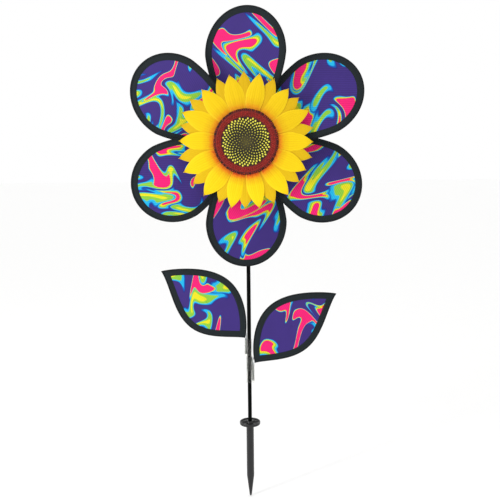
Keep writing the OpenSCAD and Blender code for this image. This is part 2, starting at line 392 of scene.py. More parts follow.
def waves_per(pitch):
    """Scale of a wave texture whose bands are this far apart, in metres."""
    return math.pi / 10 / pitch


def grain(tree, size, detail=3.0, rough=0.5):
    """Blotches about this size, in metres, in the object's own space."""
    place = node(tree, "TexCoord")
    return node(tree, "TexNoise", {"Vector": place, "Scale": 1 / size, "Detail": detail, "Roughness": rough})


def drawn_lines(tree, stretch, per_mm, detail):
    """Lines that lie the way a piece was drawn or turned, in the object's own space."""
    place = node(tree, "TexCoord")
    stretched = node(tree, "Mapping", {"Vector": place, "Scale": stretch})
    return node(tree, "TexNoise", {"Vector": stretched, "Scale": per_mm / MM, "Detail": detail})


def finish(tree, tint, stops, polish, rough, relief, strength, depth=0.1 * MM):
    """What most surfaces share: a tint between colours, a range of roughness and a fine relief."""
    node(tree, "ValToRGB", {"Fac": tint}, stops, "Base Color")
    node(tree, "MapRange", {"Value": polish, "To Min": rough[0], "To Max": rough[1]}, feeds="Roughness")
    node(tree, "Bump", {"Height": relief, "Strength": strength, "Distance": depth}, feeds="Normal")


def toned(tree, colour, first, second):
    """Gives the shader a colour made darker or lighter by two factors."""
    tone = node(tree, "Math", {0: first, 1: second}, operation="MULTIPLY")
    grey = node(tree, "CombineColor", {"Red": tone, "Green": tone, "Blue": tone})
    node(tree, "Mix", {0: 1.0, 6: colour, 7: grey}, feeds="Base Color", data_type="RGBA",
         blend_type="MULTIPLY")


def printed_cloth():
    """Dye-printed polyester: bright inks that bleed a little at their edges, a fine plain weave
    that breaks up the light, large blotches of painted sheen and shade, and a soft satin sheen."""
    inks = bpy.context.scene.print_colours
    material, tree = new_material("Dye_printed_polyester", {
        "Sheen Weight": 0.02, "Sheen Roughness": 0.45, "Specular IOR Level": 0.14})
    uv = node(tree, "UVMap", uv_map="UVMap")
    dye = node(tree, "Attribute", attribute_name="dye")
    bleed = node(tree, "TexNoise", {"Vector": uv, "Scale": 0.42 / MM, "Detail": 2.0})
    bleed = node(tree, "MapRange", {"Value": bleed, "To Min": -0.016, "To Max": 0.016})
    level = node(tree, "Math", {0: dye, 1: bleed}, operation="ADD", use_clamp=True)
    dyed = node(tree, "ValToRGB", {"Fac": level}, [
        (0.0, inks.purple), (0.09, inks.purple), (0.165, inks.navy), (0.27, inks.blue), (0.31, inks.blue),
        (0.39, inks.cyan), (0.45, inks.cyan), (0.53, inks.green), (0.59, inks.green), (0.67, inks.yellow),
        (0.75, inks.yellow), (0.83, inks.red), (0.87, inks.red), (0.95, inks.pink), (1.0, inks.pink)])
    # Plain weave: the real threads are 0.3 mm apart, drawn at 0.8 mm so that they show
    warp, weft = [node(tree, "TexWave", {"Vector": uv, "Scale": waves_per(0.8 * MM)}, bands_direction=way)
                  for way in "XY"]
    weave = node(tree, "Math", {0: warp, 1: weft}, operation="MULTIPLY")
    # Print ribs: fine slanting lines that the printing rollers leave, 2.2 mm apart
    slant = node(tree, "Mapping", {"Vector": uv, "Rotation": (0, 0, math.radians(32))})
    ribs = node(tree, "TexWave", {"Vector": slant, "Scale": waves_per(2.2 * MM), "Distortion": 1.2,
                                  "Detail": 2.0}, bands_direction="X")
    blotch = node(tree, "TexNoise", {"Vector": uv, "Scale": 0.06 / MM, "Detail": 3.0})
    ribbed = node(tree, "MapRange", {"Value": ribs, "To Min": 0.82, "To Max": 1.06})
    # Painted sheen and shade: the large blotches make the print up to a tenth lighter or darker
    painted_fold_sheen = node(tree, "MapRange", {"Value": blotch, "To Min": 0.88, "To Max": 1.1})
    tone = node(tree, "Math", {0: ribbed, 1: painted_fold_sheen}, operation="MULTIPLY")
    toned(tree, dyed, tone, node(tree, "MapRange", {"Value": weave, "To Min": 0.95, "To Max": 1.03}))
    node(tree, "MapRange", {"Value": blotch, "To Min": 0.5, "To Max": 0.66}, feeds="Roughness")
    threads = node(tree, "Bump", {"Height": weave, "Strength": 0.25, "Distance": 0.1 * MM})
    node(tree, "Bump", {"Height": blotch, "Strength": 0.2, "Distance": 0.6 * MM, "Normal": threads},
         feeds="Normal")
    return material


def binding_tape():
    """Folded polyester binding tape: matt charcoal with ribs across it, painted shade that makes it
    blacker where the fold runs over the wire, and rubbed a little paler on the flat."""
    material, tree = new_material("Grosgrain_binding_tape", {
        "Sheen Weight": 0.02, "Sheen Roughness": 0.5, "Specular IOR Level": 0.15})
    uv = node(tree, "UVMap", uv_map="UVMap")
    fold = node(tree, "Attribute", attribute_name="fold")
    # Grosgrain ribs are 0.5 mm apart on the real tape, drawn at 1 mm so that they show
    ribs = node(tree, "TexWave", {"Vector": uv, "Scale": waves_per(1.0 * MM), "Distortion": 0.4},
                bands_direction="X")
    fluff = node(tree, "TexNoise", {"Vector": uv, "Scale": 0.9 / MM, "Detail": 4.0})
    wear = node(tree, "TexNoise", {"Vector": uv, "Scale": 0.055 / MM, "Detail": 3.0})
    flat = node(tree, "Mix", {0: wear, 6: bpy.context.scene.print_colours.binding, 7: "1f272a"},
                data_type="RGBA")
    # Painted shade: near-black where the tape rolls over the wire
    dark = node(tree, "Mix", {0: fold, 6: flat, 7: "080b0c"}, data_type="RGBA")
    speck = node(tree, "MapRange", {"Value": fluff, "To Min": 0.8, "To Max": 1.2})
    toned(tree, dark, speck, node(tree, "MapRange", {"Value": ribs, "To Min": 0.86, "To Max": 1.08}))
    node(tree, "MapRange", {"Value": wear, "To Min": 0.62, "To Max": 0.82}, feeds="Roughness")
    ribbed = node(tree, "Bump", {"Height": ribs, "Strength": 0.5, "Distance": 0.12 * MM})
    node(tree, "Bump", {"Height": fluff, "Strength": 0.25, "Distance": 0.1 * MM, "Normal": ribbed},
         feeds="Normal")
    return material


def sewing_thread():
    """Bonded polyester thread: near-black, with a slight lustre that runs round its twist."""
    material, tree = new_material("Polyester_sewing_thread", {
        "Sheen Weight": 0.03, "Specular IOR Level": 0.3})
    twist = grain(tree, 0.6 * MM)
    finish(tree, twist, [(0.3, "0c1011"), (0.7, "252e2f")], twist, (0.45, 0.6), twist, 0.4)
    return material


def plastic(name, low, high, rough=(0.4, 0.55), spark=0.5 * MM, level=0.5):
    """Injection-moulded plastic: a fine spark-eroded grain, slight flow mottling and a dull shine."""
    material, tree = new_material(name, {"IOR": 1.5, "Specular IOR Level": level})
    flow = grain(tree, 8 * MM, 4.0)
    finish(tree, flow, [(0.3, low), (0.7, high)], flow, rough, grain(tree, spark, 2.0), 0.18)
    return material


def painted_rod():
    """Pultruded glass-fibre rod in black: faint lines along the fibres and a narrow highlight."""
    material, tree = new_material("Pultruded_glass_fibre_rod", {"IOR": 1.5, "Specular IOR Level": 0.03})
    fibres = drawn_lines(tree, (1, 1, 0.02), 1.8, 3.0)
    finish(tree, fibres, [(0.3, "040505"), (0.75, "0b0e0d")], fibres, (0.28, 0.44), fibres, 0.15)
    return material


def metal(name, low, high, rough, stretch=(1, 0.05, 1), metallic=1.0):
    """Drawn or turned metal: fine rings or draw lines that stretch the highlight."""
    material, tree = new_material(name, {"Metallic": metallic})
    lines = drawn_lines(tree, stretch, 2.5, 2.0)
    finish(tree, grain(tree, 3 * MM, 4.0), [(0.25, low), (0.75, high)], lines, rough, lines, 0.12)
    return material


def clear_vinyl():
    """Plasticised PVC tube: clear with a faint warm grey haze, soft pull marks along it, wet shine."""
    material, tree = new_material("Clear_PVC_tube", {"IOR": 1.35, "Transmission Weight": 1.0, "Alpha": 0.55})
    pulls = drawn_lines(tree, (1, 1, 0.08), 0.9, 3.0)
    finish(tree, pulls, [(0.3, "f4f3e6"), (0.7, "fdfdf6")], pulls, (0.03, 0.12), pulls, 0.35, 0.2 * MM)
    return material


def card_board():
    """White-coated board: matt, faintly fibrous, off-white."""
    material, tree = new_material("White_coated_board", {"Specular IOR Level": 0.3})
    fibres = grain(tree, 1.2 * MM, 5.0, 0.7)
    finish(tree, fibres, [(0.3, "dcd9cf"), (0.7, "efede6")], fibres, (0.6, 0.8), fibres, 0.2, 0.2 * MM)
    return material


def ray_print():
    """Printed foam sheet of the rays: yellow that deepens to orange at the root, painted shade in the
    creases and on the back row of rays, with a pale rim, under a thin satin ink film."""
    looks = bpy.context.scene.sunflower_looks
    material, tree = new_material("Printed_foam_rays", {"Specular IOR Level": 0.15})
    uv = node(tree, "UVMap", uv_map="UVMap")
    across, along = node(tree, "SeparateXYZ", {"Vector": uv}).node.outputs[:2]
    tone = node(tree, "Attribute", attribute_name="tone")
    back = node(tree, "Attribute", attribute_name="back")
    ragged = node(tree, "MapRange", {"Value": grain(tree, 2.2 * MM, 2.0), "To Min": -0.05, "To Max": 0.05})
    reach = node(tree, "Math", {0: along, 1: ragged}, operation="ADD")
    body = node(tree, "ValToRGB", {"Fac": reach}, [
        (0.0, "9c2008"), (0.12, "bc340a"), (0.17, looks.shade), (0.24, "dfaa06"), (0.4, looks.ray),
        (0.8, "f1d006"), (1.0, "e6be06")])
    gold = node(tree, "Mix", {0: tone, 6: body, 7: "cfa808"}, data_type="RGBA")
    side = node(tree, "Math", {0: across, 1: 0.5}, operation="SUBTRACT")
    side = node(tree, "Math", {0: side}, operation="ABSOLUTE")
    # Creases: nerves that run the length of a ray, about 2 mm apart, which also darken the yellow with
    # painted shade, less towards the tip
    lean = node(tree, "Mapping", {"Vector": uv, "Scale": (1, 0.16, 1)})
    nerves = node(tree, "TexWave", {"Vector": lean, "Scale": 2.6, "Distortion": 2.2, "Detail": 2.0,
                                    "Detail Scale": 3.0}, bands_direction="X")
    deep = node(tree, "MapRange", {"Value": nerves, "From Max": 0.45, "To Min": 0.26, "To Max": 0.0})
    fade = node(tree, "MapRange", {"Value": along, "From Min": 0.35, "From Max": 0.95, "To Min": 1.0,
                                   "To Max": 0.25})
    deep = node(tree, "Math", {0: deep, 1: fade}, operation="MULTIPLY")
    # Painted shade in the creases
    painted_crease_shade = node(tree, "Mix", {0: deep, 6: gold, 7: "c99408"}, data_type="RGBA")
    rim = node(tree, "MapRange", {"Value": side, "From Min": 0.40, "From Max": 0.49, "To Max": 0.22})
    rimmed = node(tree, "Mix", {0: rim, 6: painted_crease_shade, 7: "f4dc28"}, data_type="RGBA")
    # Painted shade: the back row of rays is darker, as if under the front row
    node(tree, "Mix", {0: back, 6: rimmed, 7: "b98a08"}, feeds="Base Color", data_type="RGBA")
    fine = grain(tree, 1.2 * MM)
    node(tree, "MapRange", {"Value": fine, "To Min": 0.42, "To Max": 0.6}, feeds="Roughness")
    creases = node(tree, "Bump", {"Height": nerves, "Strength": 0.35, "Distance": 0.3 * MM})
    node(tree, "Bump", {"Height": fine, "Strength": 0.15, "Distance": 0.1 * MM, "Normal": creases},
         feeds="Normal")
    return material


def crown_print(name, root, body, crown_colour, rough=0.5):
    """Raised dots with painted shade: dark at their roots and lighter on their crowns, with a little variety
    between them.
    """
    material, tree = new_material(name, {"Specular IOR Level": 0.25})
    crown = node(tree, "Attribute", attribute_name="crown")
    tone = node(tree, "Attribute", attribute_name="tone")
    light = node(tree, "Mix", {0: tone, 6: body, 7: crown_colour}, data_type="RGBA")
    # Painted shade: each dot runs from the dark root colour at its foot to the lighter colour on its crown
    node(tree, "Mix", {0: crown, 6: root, 7: light}, feeds="Base Color", data_type="RGBA")
    fine = grain(tree, 0.9 * MM)
    node(tree, "MapRange", {"Value": fine, "To Min": rough - 0.08, "To Max": rough + 0.1}, feeds="Roughness")
    node(tree, "Bump", {"Height": fine, "Strength": 0.25, "Distance": 0.1 * MM}, feeds="Normal")
    return material


def disc_print():
    """Ground of the disc: near-black under the seeds, brown-red under the florets."""
    material, tree = new_material("Printed_foam_disc", {"Specular IOR Level": 0.3})
    reach = node(tree, "Attribute", attribute_name="reach")
    fine = grain(tree, 1.5 * MM, 4.0)
    spread = node(tree, "MapRange", {"Value": fine, "To Min": -0.02, "To Max": 0.02})
    place = node(tree, "Math", {0: reach, 1: spread}, operation="ADD")
    finish(tree, place, [(0.0, "4a4318"), (0.25, "2a2410"), (0.5, "100c05"), (0.7, "100806"),
                         (0.75, "4a1410"), (0.8, "8a2018"), (0.9, "8a2018"), (0.95, "200c07"),
                         (1.0, "2a1009")], fine, (0.5, 0.7), fine, 0.3, 0.2 * MM)
    return material


def floor_paper():
    """Seamless studio paper: matt off-white with the faintest tooth."""
    material, tree = new_material("Studio_paper", {"Roughness": 0.9, "Specular IOR Level": 0.1})
    tooth = grain(tree, 2 * MM, 2.0)
    node(tree, "Mix", {0: tooth, 6: bpy.context.scene.studio_looks.floor, 7: "ffffff"}, feeds="Base Color",
         data_type="RGBA")
    node(tree, "Bump", {"Height": tooth, "Strength": 0.05, "Distance": 0.2 * MM}, feeds="Normal")
    return material


# ---------- the print ----------

PURPLE, NAVY, BLUE, CYAN, GREEN, YELLOW, RED, PINK = 0.0, 0.165, 0.29, 0.42, 0.56, 0.71, 0.85, 1.0

# Rings of a drop of dye from the outside in: (ink, how far inside the drop's edge, soft edge), in mm
HOT_DROP = [(CYAN, 0.0, 1.6), (YELLOW, 1.0, 1.2), (PINK, 1.9, 1.2)]
COOL_DROP = [(BLUE, 0.0, 3.4), (CYAN, 2.0, 2.2), (GREEN, 4.8, 2.0), (YELLOW, 10.4, 2.2)]
SPLIT_DROP = [(NAVY, -1.0, 2.4), (CYAN, 0.4, 2.0), (GREEN, 2.2, 1.8), (YELLOW, 4.0, 1.6),
              (RED, 5.4, 1.2), (PINK, 6.2, 1.4)]
DROPS = (HOT_DROP, COOL_DROP, SPLIT_DROP, COOL_DROP)
DROP_SIZE = (0.34, 0.53)  # radius, as a part of the spacing
WAVES = (58, 41, 27)  # lengths in mm
WHIRLS = 3
WHIRL_TURN = (1.4, 2.4)  # radians
WHIRL_SIZE = (13, 20)  # mm


def marbled(points, seed, cover):
    """Ink level of each flat point: drops of dye on purple cloth, stirred by waves and whirls.
    Cover is the share of places that get a drop."""
    inks = bpy.context.scene.print_colours
    spacing, stir = inks.spacing / MM, inks.stir / MM
    rng = np.random.default_rng(inks.seed + seed)
    low, high = points.min(0), points.max(0)
    at = points
    for length in WAVES:
        turn = rng.uniform(0, np.pi)
        along = np.array([np.cos(turn), np.sin(turn)])
        across = np.array([-along[1], along[0]])
        swing = np.sin(2 * np.pi * (at @ across) / length + rng.uniform(0, 2 * np.pi))
        at = at + np.outer(stir * length / WAVES[0] * swing, along)
    for _ in range(WHIRLS):
        centre = rng.uniform(low, high)
        x, y = (at - centre).T
        turn = rng.choice((-1, 1)) * rng.uniform(*WHIRL_TURN)
        turn = turn * np.exp(-(x * x + y * y) / rng.uniform(*WHIRL_SIZE) ** 2)
        at = centre + np.stack([np.cos(turn) * x - np.sin(turn) * y, np.sin(turn) * x + np.cos(turn) * y], 1)
    level = np.full(len(points), PURPLE)
    columns = np.arange(low[0] - 1.5 * stir, high[0] + 1.5 * stir, spacing)
    rows = np.arange(low[1] - 1.5 * stir, high[1] + 1.5 * stir, 0.8 * spacing)
    for k, (column, row) in enumerate((c, r) for c in columns for r in rows):
        centre = (column, row) + rng.uniform(0, 0.8 * spacing, 2)
        radius = rng.uniform(*DROP_SIZE) * spacing
        if rng.random() > cover:
            continue
        inside = radius - np.linalg.norm(at - centre, axis=1)
        for ink_level, depth, soft in DROPS[(k + seed) % len(DROPS)]:
            level += (ink_level - level) * ease(0.5 + (inside - depth) / soft)
    return level


# ---------- cloth, tape, thread and wire ----------

BILLOW, PUCKER, RIPPLE = 0.75, 0.16, 0.22  # heights in mm
PUCKERS = 23
FOLD = 0.42  # from the wire to the middle of the tape that goes round it, in mm
SEAM = 0.46  # height of the stitches, in mm
STITCH = ((-0.12, 0.13), (0.1, 0.2), (0.1, 0.2), (-0.12, 0.13))  # lift and radius along one, in mm
WIRE_INSET = 0.55  # from a piece's edge to its wire, in mm
PETAL_CUT, LEAF_CUT = 2.4, 2.2  # from a piece's edge to its cloth's, in mm


def stretched_cloth(edge, matrix, seed, cover, rings=90):
    """A flat cut of cloth between a centre and its edge, slightly billowed and puckered at its sewn rim."""
    count = len(edge)
    centre = edge.mean(0)
    share = np.linspace(1 / rings, 1, rings)
    flat = centre + (edge - centre)[None] * share[:, None, None]
    flat = np.vstack([flat.reshape(-1, 2), centre])
    s = np.r_[np.repeat(share, count), 0]
    a = np.r_[np.tile(np.arange(count) / count * 2 * np.pi, rings), 0]
    phase = seed * 1.7
    rise = BILLOW * (1 - s * s) * (0.6 + 0.4 * np.cos(a * 2 + phase))
    rise += PUCKER * np.sin(a * PUCKERS + phase) * np.exp(-((1 - s) / 0.1) ** 2) * (1 - s ** 12)
    rise += RIPPLE * np.sin(flat[:, 0] * 0.09 + flat[:, 1] * 0.07 + phase) * (1 - s ** 4)
    faces, _ = woven(rings, count, False, True)
    middle = len(flat) - 1
    faces += [[middle, j, (j + 1) % count] for j in range(count)]
    points = placed(np.column_stack([flat, rise]), matrix)
    uv = [flat[v] * MM for face in faces for v in face]
    obj = sheet_object(points, faces, uv, dye=marbled(flat, seed, cover))
    tidy_mesh(obj)
    thickness = bpy.context.scene.flower_sizes.cloth
    apply(obj, "SOLIDIFY", thickness=thickness, offset=0.0, use_even_offset=True)
    bpy.ops.object.shade_smooth_by_angle(angle=math.radians(40))
    return obj


def tape_profile(wire, band):
    """Section of the folded tape: inset from the edge and height, round the wire and out to its flat,
    with a dip along each seam."""
    r = wire / 2 + FOLD
    u = r + 0.12
    top = [(band, 0.34), (band - 0.25, 0.5), (band - 0.75, 0.56), (band - 1.1, 0.42), (band - 1.45, 0.56),
           ((band + u) / 2 + 0.8, 0.6), (2 * r + 1.2, 0.58), (2 * r + 0.75, 0.42), (2 * r + 0.35, 0.6)]
    top += [(u - r * math.cos(t), r * math.sin(t)) for t in np.radians([140, 115, 90, 65, 40, 18])]
    fold = [(u - r, 0.0)]
    bottom = [(x, -z) for x, z in reversed(top)]
    return top + fold + bottom


def folded_tape(outline, wire, band, matrix):
    """Binding tape swept round an outline, folded over the wire and sewn flat inside it."""
    profile = tape_profile(wire, band)
    rows = [outline(u) for u, _ in profile]
    count = len(rows[0])
    points = np.vstack([np.column_stack([row, np.full(count, z)]) for row, (_, z) in zip(rows, profile)])
    faces, corners = woven(len(profile), count, True, True)
    run = rows[len(rows) // 2]
    run = np.r_[0, np.cumsum(np.linalg.norm(np.diff(np.vstack([run, run[:1]]), axis=0), axis=1))]
    over = np.array(profile + profile[:1])
    over = np.r_[0, np.cumsum(np.linalg.norm(np.diff(over, axis=0), axis=1))]
    uv = [(run[j] * MM, over[i] * MM) for i, j in corners]
    # Mask of the painted shade: 1 where the tape rolls over the wire, fading to 0 across the tape
    fold = np.repeat([max(0.0, 1 - u / (wire + 1.4)) for u, _ in profile], count)
    obj = sheet_object(placed(points, matrix), faces, uv, fold=fold)
    tidy_mesh(obj)
    return obj


def seams(wire, band):
    """The two seams of a binding on its front and back, as (inset, height)."""
    beside_wire = 2 * (wire / 2 + FOLD) + 0.75
    return [(inset, height) for inset in (band - 1.1, beside_wire) for height in (SEAM, -SEAM)]


def sewn_line(outline, wire, band, matrix):
    """Short stitches sunk in the tape, along both of its seams."""
    pitch = bpy.context.scene.flower_sizes.stitch / MM
    points, faces = [], []
    for inset, height in seams(wire, band):
        edge = outline(inset)
        edge = np.vstack([edge, edge[:1]])
        total = np.linalg.norm(np.diff(edge, axis=0), axis=1).sum()
        count = int(round(total / pitch))
        run = resample(edge, count * 4 + 1)
        for k in range(count):
            spots = run[4 * k:4 * k + 4]
            t = spots[-1] - spots[0]
            t /= np.linalg.norm(t)
            side = np.array([-t[1], t[0]])
            sign = 1 if height > 0 else -1
            start = len(points)
            for spot, (lift, thick) in zip(spots, STITCH):
                for across, up in ((1, 0), (0, 1), (-1, 0), (0, -1)):
                    p = spot + side * across * thick
                    points.append((p[0], p[1], height + sign * lift + up * thick))
            for step in range(3):
                for j in range(4):
                    a, b = start + 4 * step + j, start + 4 * step + (j + 1) % 4
                    faces.append([a, b, b + 4, a + 4])
            faces += [[start + 3, start + 2, start + 1, start], [start + 12 + j for j in range(4)]]
    obj = sheet_object(placed(points, matrix), faces)
    tidy_mesh(obj)
    return obj


def drawn_wire(path, diameter, matrix):
    """Round wire along a path: a curve with a round section, made a mesh."""
    clear_selection()
    bpy.ops.curve.primitive_bezier_curve_add(location=(0, 0, 0))
    curve = bpy.context.object
    curve.data.splines.clear()
    spline = curve.data.splines.new("POLY")
    spline.points.add(len(path) - 1)
    flat = placed(np.column_stack([path, np.zeros(len(path))]), matrix)
    spline.points.foreach_set("co", np.column_stack([flat, np.ones(len(path))]).ravel())
    curve.data.dimensions = "3D"
    curve.data.bevel_depth = diameter / 2
    curve.data.bevel_resolution = 4
    curve.data.use_fill_caps = True
    only(curve)
    bpy.ops.object.convert(target="MESH")
    wire = bpy.context.object
    tidy_mesh(wire, merge=0.01 * MM)
    return wire


def petal_wire_path():
    """Two legs from the hub and one loop round the petal, inside its binding."""
    size = bpy.context.scene.flower_sizes.wire / MM
    loop = petal_edge(WIRE_INSET + size / 2, 180)
    foot = loop[0][1] + 0.1
    # A leg runs out from the hub, 5 mm beside the petal's middle
    leg = np.array([(5, 11), (5, foot - 1.6), (5.2, foot - 0.5), (5.8, foot)])
    loop = [p for p in loop if p[1] > 80 or abs(p[0]) > 7]
    return np.array([*leg, *loop, *(leg * (-1, 1))[::-1]])


def leaf_wire_path(side):
    """Up out of the tube, round the leaf inside its binding, and back down into the tube."""
    leaf = LEAVES[side]
    size = bpy.context.scene.flower_sizes.leaf_wire / MM
    base = np.array(leaf["base"])
    loop = leaf_edge(side, WIRE_INSET + size / 2, 60)
    loop = [p for p in loop if np.linalg.norm(p - base) > 9]
    inner, outer = leaf["tails"]
    return np.array([(outer, leaf["tube"] + 2), (outer, base[1] - 1.5), (outer + 0.3, base[1]),
                     (outer + 1.2, base[1] + 1.6), *loop,
                     (inner + 0.2, base[1] + 3), (inner, base[1] - 1.5), (inner, leaf["tube"] + 2)])


def printed_piece(name, edge, body, place, cover, seed, material):
    """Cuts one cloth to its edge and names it."""
    cloth = piece(stretched_cloth(edge, place, seed, cover), name.format("cloth"), body, "printed_cloth",
                  material, name.format("panel"))


def bound_edge(name, outline, wire, body, place, tape, thread):
    """Folds the tape round one edge and sews it down."""
    band = bpy.context.scene.flower_sizes.band / MM
    binding = folded_tape(outline, wire / MM, band, place)
    piece(binding, name.format("tape"), body, "binding_tape", tape, name.format("binding"))
    stitches = sewn_line(outline, wire / MM, band, place)
    piece(stitches, name.format("stitches"), body, "binding_tape", thread)


# ---------- operators: cloth ----------

class PetalCloths(bpy.types.Operator):
    """Cuts, prints and stretches the six petal cloths"""
    bl_idname = "spinner.petal_cloths"
    bl_label = "Petal cloths"

    def execute(self, context):
        material, cover = printed_cloth(), context.scene.print_colours.petal_cover
        for i in PETALS:
            edge = petal_edge(PETAL_CUT, 320)
            printed_piece(f"petal_{{}}_{i}", edge, "wheel", on_wheel(i), cover, i, material)
        return {"FINISHED"}


class PetalBindings(bpy.types.Operator):
    """Folds the binding tape round the petals and sews it"""
    bl_idname = "spinner.petal_bindings"
    bl_label = "Petal bindings"

    def execute(self, context):
        wire, tape, thread = context.scene.flower_sizes.wire, binding_tape(), sewing_thread()
        for i in PETALS:
            bound_edge(f"petal_{{}}_{i}", petal_edge, wire, "wheel", on_wheel(i), tape, thread)
        return {"FINISHED"}


class PetalWires(bpy.types.Operator):
    """Bends the six spring wires that hold the petals to the hub"""
    bl_idname = "spinner.petal_wires"
    bl_label = "Petal wires"

    def execute(self, context):
        steel = metal("Drawn_spring_steel", "8f9396", "b4b8ba", (0.25, 0.42))
        path = petal_wire_path()
        for i in PETALS:
            wire = drawn_wire(path, context.scene.flower_sizes.wire, on_wheel(i))
            piece(wire, f"petal_wire_{i}", "wheel", "spring_wire", steel, f"petal_frame_{i}")
        return {"FINISHED"}


class Leaves(bpy.types.Operator):
    """Makes the two leaves: printed cloth, binding, stitches and wire"""
    bl_idname = "spinner.leaves"
    bl_label = "Leaves"

    def execute(self, context):
        wire, cover = context.scene.flower_sizes.leaf_wire, context.scene.print_colours.leaf_cover
        cloth_look, tape, thread, steel = [bpy.data.materials[name] for name in (
            "Dye_printed_polyester", "Grosgrain_binding_tape", "Polyester_sewing_thread",
            "Drawn_spring_steel")]
        for seed, side in enumerate(LEAVES, len(PETALS) + 1):
            body, place, name = f"{side}_leaf", on_stem(side), f"{side}_leaf_{{}}"
            edge = leaf_edge(side, LEAF_CUT, 160)
            printed_piece(name, edge, body, place, cover, seed, cloth_look)
            bound_edge(name, partial(leaf_edge, side), wire, body, place, tape, thread)
            bent = drawn_wire(leaf_wire_path(side), wire, place)
            piece(bent, f"{side}_leaf_wire", body, "spring_wire", steel, f"{side}_leaf_frame")
        return {"FINISHED"}


# ---------- the sunflower, in millimetres ----------

RAY_PAIRS = 14
RAY_ROOT = 33.0
SEED_RADIUS = 27.6
GOLDEN_ANGLE = math.radians(137.508)
FLORET_ROWS = ((29.6, 80), (31.6, 86), (33.6, 92))  # (radius, florets)
EDGE_DOTS, DOT_RADIUS = 100, 36.4
# Face of the disc from its rim inwards, with a groove between florets and seeds: (radius, height)
DISC_FACE = ((33, 2.7), (29.4, 2.5), (28.4, 2.0), (27.4, 2.1), (24, 2.5), (18, 2.9), (11, 2.9), (5, 2.5))


def ray_shape(length, width, curl):
    """One ray: a leaf-shaped sheet with a valley down its middle, pressed from foam."""
    clear_selection()
    bpy.ops.mesh.primitive_grid_add(x_subdivisions=14, y_subdivisions=26, size=2, location=(0, 0, 0))
    ray = bpy.context.object
    co = np.array([v.co for v in ray.data.vertices])
    t, s = co[:, 0], (co[:, 1] + 1) / 2
    swell = np.where(s < 0.45, 0.62 + 0.38 * np.sin(np.pi / 2 * s / 0.45),
                     (1 - np.clip((s - 0.45) / 0.55, 0, 1) ** 1.75) ** 0.82)
    swell = np.maximum(swell, 0.02)
    x = t * width / 2 * swell
    y = RAY_ROOT + s * (length - RAY_ROOT) * (1 - 0.03 * t * t)
    cushion = 1.25 * (1 - t * t) * np.sin(np.pi * np.clip(s, 0, 1) ** 0.8) ** 0.7
    valley = 0.5 * np.exp(-(t / 0.16) ** 2) * (1 - s) ** 0.5
    lines = 0.09 * np.sin(t * 15) * (1 - s)
    z = cushion - valley + lines + curl * s * s
    ray.data.vertices.foreach_set("co", (np.column_stack([x, y, z]) * MM).ravel())
    uv = ray.data.uv_layers.active
    corners = np.zeros(len(ray.data.loops), int)
    ray.data.loops.foreach_get("vertex_index", corners)
    across, along = (t[corners] + 1) / 2, s[corners]
    uv.data.foreach_set("uv", np.column_stack([across, along]).astype(np.float32).ravel())
    return ray


class SunflowerRays(bpy.types.Operator):
    """Presses the yellow rays of the sunflower, front and back rows"""
    bl_idname = "spinner.sunflower_rays"
    bl_label = "Sunflower rays"

    def execute(self, context):
        looks = context.scene.sunflower_looks
        rng = random.Random(7)
        rays = []
        for k in range(2 * RAY_PAIRS):
            back = k % 2
            angle = 180 / RAY_PAIRS * (k + rng.uniform(-0.15, 0.15))
            length = looks.ray_reach / MM + rng.uniform(-2.5, 2.5)
            width = looks.ray_width / MM * (rng.uniform(0.9, 1.0) if back else rng.uniform(0.95, 1.08))
            ray = ray_shape(length, width, rng.uniform(-0.2, 0.5))
            turn = Matrix.Rotation(math.radians(angle - 90), 4, "Z")
            lean = Matrix.Rotation(math.radians(rng.uniform(-3, 3)), 4, "Y")
            lift = Matrix.Translation((0, 0, (0.25 if back else 1.3 + 0.12 * (k % 4)) * MM))
            ray.data.transform(before_face() @ turn @ lift @ lean)
            upper = 0.5 + 0.5 * math.sin(math.radians(angle))
            # back marks the back row for its painted shade; tone makes rays on the upper half more golden,
            # with a random share
            point_values(ray.data, tone=0.05 + 0.4 * upper + rng.uniform(-0.05, 0.12), back=0.45 * back)
            rays.append(ray)
        rays = join(rays)
        tidy_mesh(rays)
        apply(rays, "SOLIDIFY", thickness=0.9 * MM, offset=-1.0)
        bpy.ops.object.shade_smooth_by_angle(angle=math.radians(50))
        piece(rays, "sunflower_rays", "wheel", "sunflower_print", ray_print(), "sunflower_face")
        return {"FINISHED"}


def turned(profile, sides):
    """A round piece drawn out ring by ring from a filled circle; profile is [(radius, height)]."""
    clear_selection()
    radius, height = profile[0]
    bpy.ops.mesh.primitive_circle_add(vertices=sides, radius=radius * MM, fill_type="NGON",
                                      location=(0, 0, height * MM), enter_editmode=True)
    for next_radius, next_height in profile[1:]:
        bpy.ops.mesh.extrude_region_move(
            TRANSFORM_OT_translate={"value": (0, 0, (next_height - height) * MM)})
        grow = next_radius / radius
        bpy.ops.transform.resize(value=(grow, grow, 1), center_override=(0, 0, next_height * MM))
        radius, height = next_radius, next_height
    bpy.ops.object.mode_set(mode="OBJECT")
    obj = bpy.context.object
    settle(obj)
    return obj


class SunflowerDisc(bpy.types.Operator):
    """Turns the domed disc that carries the seeds and florets"""
    bl_idname = "spinner.sunflower_disc"
    bl_label = "Sunflower disc"

    def execute(self, context):
        ring = context.scene.sunflower_looks.ring / MM
        rim = [(ring - 0.6, -0.2), (ring, 0.4), (ring, 1.6), (ring - 0.4, 2.2), (ring - 2, 2.5)]
        disc = turned([*rim, *DISC_FACE, (0.5, 2.3)], 96)
        co = np.array([v.co for v in disc.data.vertices])
        point_values(disc.data, reach=np.hypot(co[:, 0], co[:, 1]) / (ring * MM))
        tidy_mesh(disc, smooth=50)
        disc.data.transform(before_face())
        piece(disc, "sunflower_disc", "wheel", "sunflower_print", disc_print())
        return {"FINISHED"}


def disc_height(radius):
    """Height of the disc's face at a distance from its middle."""
    ring = bpy.context.scene.sunflower_looks.ring / MM
    steps = np.array([(0, 2.3), *DISC_FACE[::-1], (ring - 2, 2.5), (ring, 1.9)])
    return float(np.interp(radius, steps[:, 0], steps[:, 1]))


